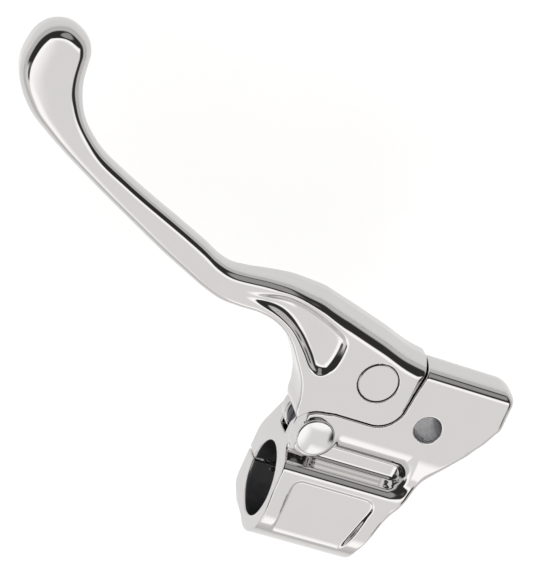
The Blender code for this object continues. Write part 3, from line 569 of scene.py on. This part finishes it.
# The sunk panel on the clamp, and under it the two screws' holes, from the head's seat to the insert.
panel_outline = arc((-16.4, 6.8), PANEL_CORNER, 180, 90, 8) + arc((6.0, 6.8), PANEL_CORNER, 90, -15.6, 8)
panel_outline += [(0.3, -25.0), (-19.6, -25.0)]
panel = common(soften(grid.plan(panel_outline), 2), PANEL_FLOOR - grid.z, 0.8)
perch = cut(perch, panel, 0.7)
for x in SCREW_XS:
    from_screw = np.hypot(grid.x - x, grid.z - SCREW_Z)
    hole = from_screw - np.where(grid.y < INSERT_MOUTH_Y, INSERT_HOLE_RADIUS, SHANK_HOLE_RADIUS)
    hole = np.maximum(hole, INSERT_BOTTOM_Y - grid.y)
    head_seat = np.maximum(from_screw - HEAD_SEAT_RADIUS, HEAD_SEAT_Y - grid.y)
    perch = cut(perch, np.minimum(hole, head_seat), 0.25)
perch_piece = skin("polished_perch", perch, grid)

# The bar's bore, the mirror's hole and the tongue's slot are left as machined, without plate, and their metal
# is darkened as painted shade for these hollows.
# Both colours are far darker than bare aluminium: painted shade inside the bore, the hole and the slot. The
# hairline marks are the real machined finish.
bore_colour_with_painted_shade = (0.48, 0.48, 0.49)
bore_shade = (0.20, 0.20, 0.21)
bore_metal_with_painted_shade = metal("machined_bore_with_painted_shade", bore_colour_with_painted_shade, bore_shade, (0.22, 0.38), 0.00003, "Hairlines")
perch_piece.data.materials.append(chrome)
perch_piece.data.materials.append(bore_metal_with_painted_shade)
centres = np.zeros(len(perch_piece.data.polygons) * 3)
perch_piece.data.polygons.foreach_get("center", centres)
places = centres.reshape(-1, 3) / MM
place_x, place_y, place_z = places.T
wall_depth = 0.05
bored = np.hypot(place_y, place_z) < BAR_RADIUS + wall_depth
from_mirror_hole = np.hypot(place_x - MIRROR_HOLE[0], place_y - MIRROR_HOLE[1])
bored |= (from_mirror_hole < MIRROR_HOLE_RADIUS + wall_depth) & (place_z < TOP - 0.1)
slot_middle = (-11.5, 22.0, -0.5)
slot_reach = (9.4, 12.0, 4.1)
slotted = (np.abs(places - slot_middle) < slot_reach).all(1)
perch_piece.data.polygons.foreach_set("material_index", (bored | slotted).astype(np.int32))
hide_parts("perch_body")
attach(perch_piece, "perch")

# Pivot pin. Turned from steel and plated, with a low domed head, a step that rests on the slot's floor, and
# a neck for its retaining ring under the ear. It stays in the perch, and the lever turns on it.
steel = metal("plated_steel", (0.66, 0.655, 0.65), (0.60, 0.60, 0.61), (0.05, 0.12), 0.00002)


def turned(name, profile, centre, steps=120):
    """A closed profile of radius and height turned about an upright axis, with its corners kept crisp."""
    turns = np.linspace(0, 2 * math.pi, steps, endpoint=False)
    inner = profile[1:-1]
    points = [(*centre, profile[0][1]), (*centre, profile[-1][1])]
    points += [(centre[0] + r * math.cos(t), centre[1] + r * math.sin(t), z) for r, z in inner for t in turns]
    faces = []
    for step in range(steps):
        after = (step + 1) % steps
        faces.append((0, 2 + after, 2 + step))
        faces.append((1, 2 + (len(inner) - 1) * steps + step, 2 + (len(inner) - 1) * steps + after))
        for row in range(len(inner) - 1):
            low, high = 2 + row * steps, 2 + (row + 1) * steps
            faces.append((low + step, low + after, high + after, high + step))
    mesh = bpy.data.meshes.new(name)
    mesh.from_pydata((np.array(points) * MM).tolist(), [], faces)
    mesh.shade_smooth()
    mesh.set_sharp_from_angle(angle=math.radians(32))
    made = bpy.data.objects.new(name, mesh)
    bpy.context.scene.collection.objects.link(made)
    return made


pin_low, pin_high = (corner[2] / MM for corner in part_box("pivot_pin"))
ring_low, ring_high = (corner[2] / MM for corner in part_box("pivot_pin_ring"))
step_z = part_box("thrust_washer_lower")[0][2] / MM
tail, neck, shank, head = 3.25, 2.55, 4.0, 6.3
chamfer = 0.4
neck_low = ring_low - 0.3
neck_high = ring_high + 0.15
head_low = TOP + 0.05
pin_profile = [(0, pin_low), (tail - chamfer, pin_low), (tail, pin_low + chamfer), (tail, neck_low)]
pin_profile += [(neck, neck_low), (neck, neck_high), (tail, neck_high), (tail, step_z)]
pin_profile += [(shank, step_z), (shank, head_low), (head - 0.2, head_low), (head, head_low + 0.2)]
dome_edge = 5.6
dome_drop = 0.95
round_low = TOP + 1.2
round_high = pin_high - dome_drop
round_end = math.radians(15)
for t in np.radians(np.arange(90, 14, -5)):
    out = (math.sin(t) - math.sin(round_end)) / (1 - math.sin(round_end))
    down = 1 - math.cos(t) / math.cos(round_end)
    pin_profile.append((dome_edge + (head - dome_edge) * out, round_high - (round_high - round_low) * down))
for part in (0.8, 0.6, 0.4, 0.2, 0.0):
    pin_profile.append((dome_edge * part, pin_high - dome_drop * part**2))
pivot_piece = turned("domed_pivot_pin", pin_profile, PIVOT)
pivot_piece.data.materials.append(steel)
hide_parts("pivot_pin")
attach(pivot_piece, "perch")

# Small parts. The cable's anchor is a plated and polished barrel. The bush is pressed from bronze powder and
# holds oil in its pores. Flat washers, screws and inserts are plated steel, and the rings, the wave washer
# and the lock washers are hardened and oil-blacked.
bronze = metal("sintered_bronze", (0.60, 0.41, 0.21), (0.28, 0.18, 0.09), (0.30, 0.46), 0.00006, "Pores")
spring = metal("spring_steel", (0.20, 0.20, 0.22), (0.11, 0.11, 0.12), (0.26, 0.42), 0.00003, "Hairlines")
finish_of = {"cable_anchor_pin": chrome, "lever_pivot_bush": bronze, "anti_rattle_washer": spring}
for node, piece in frame["nodes"].items():
    if "ring" in node.split("_") or node.startswith("lock_washer"):
        finish_of[node] = spring
    if piece.name in ("lever", "perch_body", "pivot_pin"):
        continue
    piece.data.materials.clear()
    piece.data.materials.append(finish_of.get(node, steel))

# Surroundings, which the chrome mirrors. A light room, dark overhead towards the front, with one large lit
# panel overhead that is brighter at its edges, a light wall behind, and two cards that soften the mirroring.
ROOM_LIGHT = 0.72
DARK_LIGHT = 0.04
GREY_CARD = 0.42
DARK_CARD = 0.12
WALL_LIGHT = 1.04
PANEL_LIGHT = 1.04
PANEL_RIM = 1.5
world = bpy.data.worlds.new("studio")
bpy.context.scene.world = world
world.use_nodes = True
nodes = world.node_tree.nodes
links = world.node_tree.links
background = nodes["Background"]
coordinates = nodes.new("ShaderNodeTexCoord")


def math_node(operation, *values):
    """The result of a sum on numbers and sockets."""
    node = nodes.new("ShaderNodeMath")
    node.operation = operation
    for socket, value in zip(node.inputs, values):
        if isinstance(value, (int, float)):
            socket.default_value = value
        else:
            links.new(value, socket)
    return node.outputs[0]


def near(direction, inner, outer):
    """1 within the inner angle of a direction in degrees, falling to 0 at the outer angle."""
    dot = nodes.new("ShaderNodeVectorMath")
    dot.operation = "DOT_PRODUCT"
    links.new(coordinates.outputs["Generated"], dot.inputs[0])
    dot.inputs[1].default_value = Vector(direction).normalized()
    return between(dot.outputs["Value"], math.cos(math.radians(outer)), math.cos(math.radians(inner)))


def between(value, low, high):
    """A smooth step from 0 at the low value to 1 at the high value, or down if low is above high."""
    ramp = nodes.new("ShaderNodeMapRange")
    ramp.interpolation_type = "SMOOTHSTEP"
    links.new(value, ramp.inputs["Value"])
    rising = low < high
    ramp.inputs["From Min"].default_value = low if rising else high
    ramp.inputs["From Max"].default_value = high if rising else low
    ramp.inputs["To Min"].default_value = 0.0 if rising else 1.0
    ramp.inputs["To Max"].default_value = 1.0 if rising else 0.0
    return ramp.outputs["Result"]


def mix(amount, low, high):
    """The low value where the amount is 0, and the high value where it is 1."""
    node = nodes.new("ShaderNodeMix")
    node.data_type = "FLOAT"
    for socket, value in zip((node.inputs[0], node.inputs[2], node.inputs[3]), (amount, low, high)):
        if isinstance(value, (int, float)):
            socket.default_value = value
        else:
            links.new(value, socket)
    return node.outputs[0]


axes = nodes.new("ShaderNodeSeparateXYZ")
links.new(coordinates.outputs["Generated"], axes.inputs[0])
look_x, look_y, look_z = axes.outputs
unlit = math_node("MULTIPLY", between(look_z, 0.28, 0.42), between(look_y, -0.45, -0.25))
light = mix(unlit, ROOM_LIGHT, DARK_LIGHT)
light = mix(near((0.20, 0.68, 0.70), 14, 21), light, GREY_CARD)
wall = mix(between(look_z, 0.0, 0.7), ROOM_LIGHT, WALL_LIGHT)
light = mix(between(look_y, -0.30, -0.50), light, wall)
light = mix(near((-0.55, -0.46, 0.70), 7, 12), light, DARK_CARD)
box_x = math_node("MULTIPLY", between(look_x, -0.46, -0.36), between(look_x, 0.76, 0.66))
box_y = math_node("MULTIPLY", between(look_y, 0.30, 0.20), between(look_z, 0.36, 0.46))
rim = math_node("MAXIMUM", between(look_x, 0.14, -0.16), between(look_y, -0.10, 0.10))
far_rim = math_node("MULTIPLY", between(look_y, -0.50, -0.72), between(look_x, 0.20, 0.28))
rim = math_node("MAXIMUM", rim, far_rim)
light = mix(math_node("MULTIPLY", box_x, box_y), light, mix(rim, PANEL_LIGHT, PANEL_RIM))
links.new(light, background.inputs["Strength"])
background.inputs["Color"].default_value = (1.0, 0.985, 0.975, 1.0)

# Camera. A long lens, held above the lever's outer side and ahead of its ball end.
# Its three directions are the view's right, its top, and back towards the lens.
camera_data = bpy.data.cameras.new("camera")
camera_data.lens = 137.5
camera = bpy.data.objects.new("camera", camera_data)
bpy.context.scene.collection.objects.link(camera)
right = Vector((0.908, 0.3834, 0.1689))
up = Vector((-0.2862, 0.862, -0.4184))
back = Vector((-0.306, 0.3316, 0.8924))
turned_to = Matrix((right, up, back)).transposed().to_4x4()
camera.matrix_world = Matrix.Translation((-0.2605, 0.2922, 0.6156)) @ turned_to
bpy.context.scene.camera = camera
bpy.context.scene.view_settings.view_transform = "Standard"

# Floor. A pale matt sheet, well below the object, under one wide soft lamp that the chrome doesn't mirror.
# It is a tenth darker to the chrome than to the eye, because the plated flanks mirror it.
FLOOR_Z = -0.15
FLOOR_HALF = 4
FLOOR_TONES = (0.89, 0.91)
MIRRORED_DROP = -0.10
floor_mesh = bpy.data.meshes.new("floor")
floor_corners = [(FLOOR_HALF * x, FLOOR_HALF * y, FLOOR_Z) for x, y in ((-1, -1), (1, -1), (1, 1), (-1, 1))]
floor_mesh.from_pydata(floor_corners, [], [(0, 1, 2, 3)])
floor_piece = bpy.data.objects.new("floor", floor_mesh)
bpy.context.scene.collection.objects.link(floor_piece)
pale = bpy.data.materials.new("pale_floor")
pale.use_nodes = True
add = adder(pale.node_tree)
grain = add("ShaderNodeTexNoise", {"Scale": 60.0, "Detail": 6.0})
speckle = {"Value": grain.outputs[0], "To Min": FLOOR_TONES[0], "To Max": FLOOR_TONES[1]}
tone = add("ShaderNodeMapRange", speckle)
mirrored = add("ShaderNodeLightPath").outputs["Is Glossy Ray"]
dimming = {0: mirrored, 1: MIRRORED_DROP, 2: tone.outputs[0]}
dimmed = add("ShaderNodeMath", dimming, operation="MULTIPLY_ADD")
pale.node_tree.links.new(dimmed.outputs[0], pale.node_tree.nodes["Principled BSDF"].inputs["Base Color"])
pale.node_tree.nodes["Principled BSDF"].inputs["Roughness"].default_value = 0.9
floor_mesh.materials.append(pale)
lamp = bpy.data.lights.new("overhead", "AREA")
lamp.energy = 43
lamp.size = 3.0
lamp_piece = bpy.data.objects.new("overhead", lamp)
lamp_piece.location = (0.0, 0.0, 2.0)
lamp_piece.visible_glossy = False
bpy.context.scene.collection.objects.link(lamp_piece)
